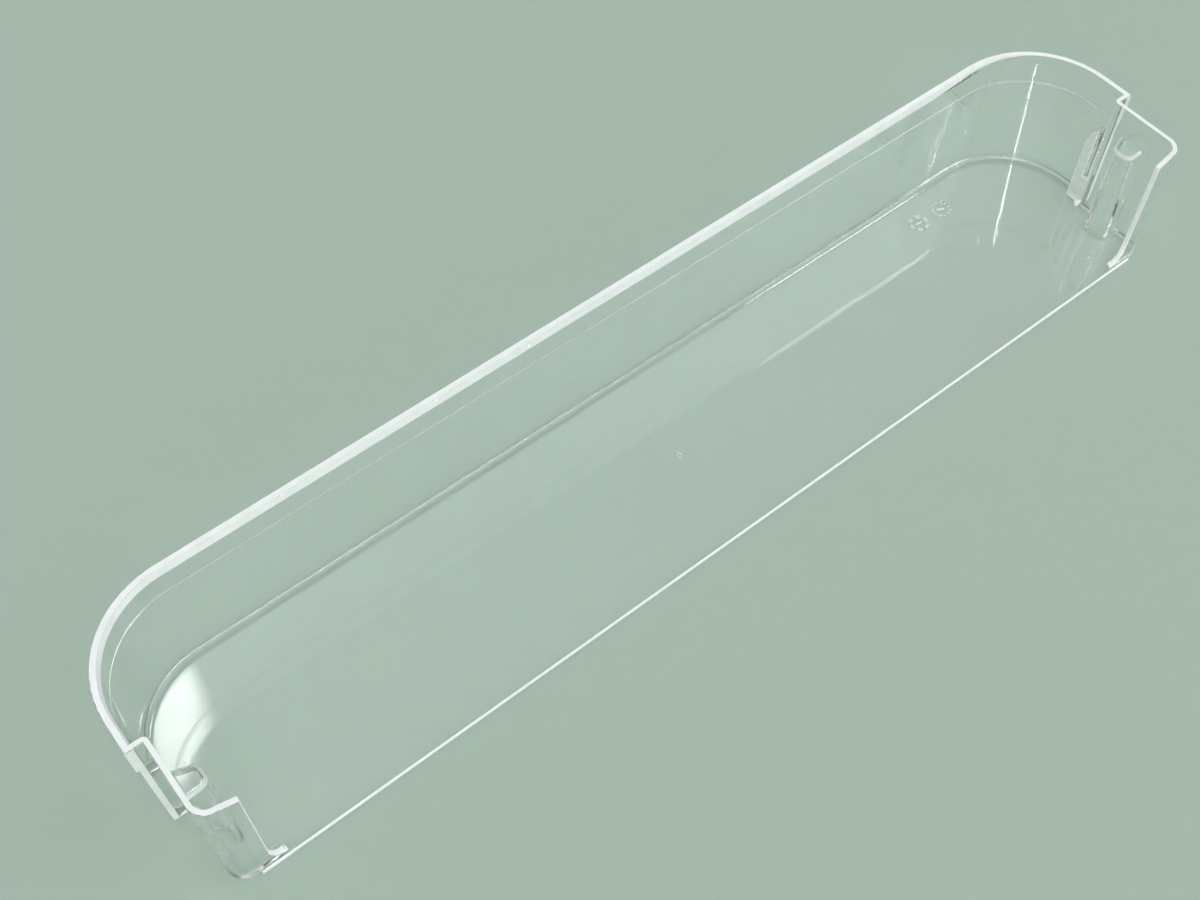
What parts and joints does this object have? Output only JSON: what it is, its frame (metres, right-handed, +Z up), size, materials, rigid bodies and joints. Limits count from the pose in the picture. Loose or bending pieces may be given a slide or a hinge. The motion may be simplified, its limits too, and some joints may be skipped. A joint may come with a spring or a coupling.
{
  "type": "fridge door shelf",
  "caption": "Clear moulded fridge door shelf: a long shallow tray with round front corners, stepped ends, lug pockets and an open rear side.",
  "frame": {"origin": "middle of the bounding box, on the underside of the floor", "axes": "+X along the length, +Y out of the open rear side towards the door, +Z up"},
  "size_m": [0.45, 0.0856, 0.06],
  "materials": {
    "clear_plastic": "clear polished polystyrene"
  },
  "bodies": {
    "root": {"door_shelf": "clear_plastic"}
  },
  "joints": []
}
